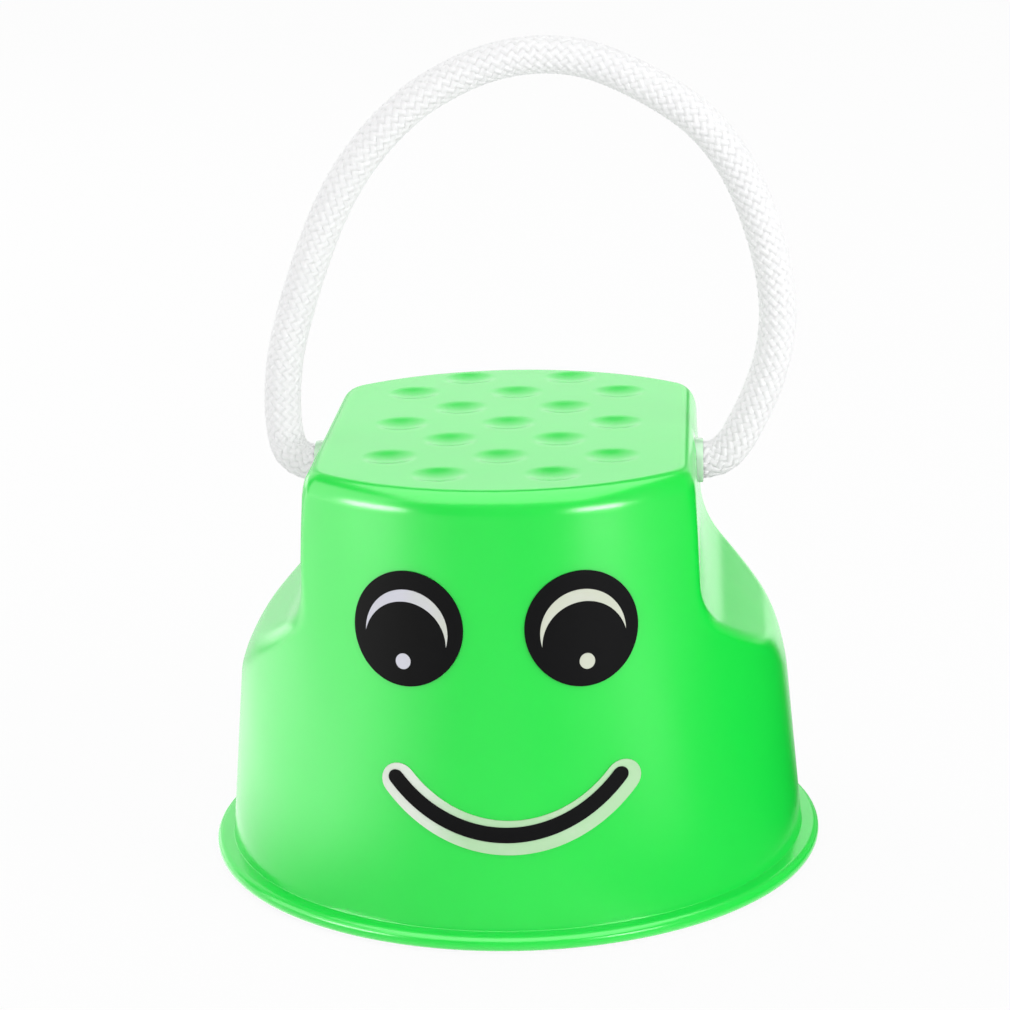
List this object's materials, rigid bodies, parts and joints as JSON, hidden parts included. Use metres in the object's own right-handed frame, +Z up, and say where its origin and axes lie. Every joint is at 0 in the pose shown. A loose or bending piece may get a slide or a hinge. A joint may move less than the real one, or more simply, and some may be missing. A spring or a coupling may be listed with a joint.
{
  "type": "tin can stilt",
  "caption": "Child's cup stilt: a moulded plastic cup on its open end, with side scoops, a dimpled tread, a face of stickers and a braided rope loop.",
  "frame": {"origin": "middle of the base flange on the floor", "axes": "+Z up through the tread, +X through the right rope hole, -Y towards the face (the toe side)"},
  "size_m": [0.125, 0.125, 0.1648],
  "materials": {
    "cup_plastic": "moulded polyethylene, soft gloss, slightly translucent",
    "rope": "white braided polyester cord",
    "sticker_black": "black vinyl film, satin",
    "sticker_white": "white vinyl film, satin"
  },
  "bodies": {
    "cup": {"stilt_cup": "cup_plastic", "left_rope_knot": "rope", "right_rope_knot": "rope", "left_eye_sticker": "sticker_black", "right_eye_sticker": "sticker_black", "left_eye_print": "sticker_white", "right_eye_print": "sticker_white", "smile_sticker": "sticker_white", "smile_print": "sticker_black"},
    "loop": {"rope_loop": "rope"}
  },
  "joints": [
    {"name": "rope_swing", "type": "hinge", "parent": "cup", "child": "loop", "pos_m": [0, 0, 0.0795], "axis": [1, 0, 0], "range_deg": [-70, 70]}
  ]
}
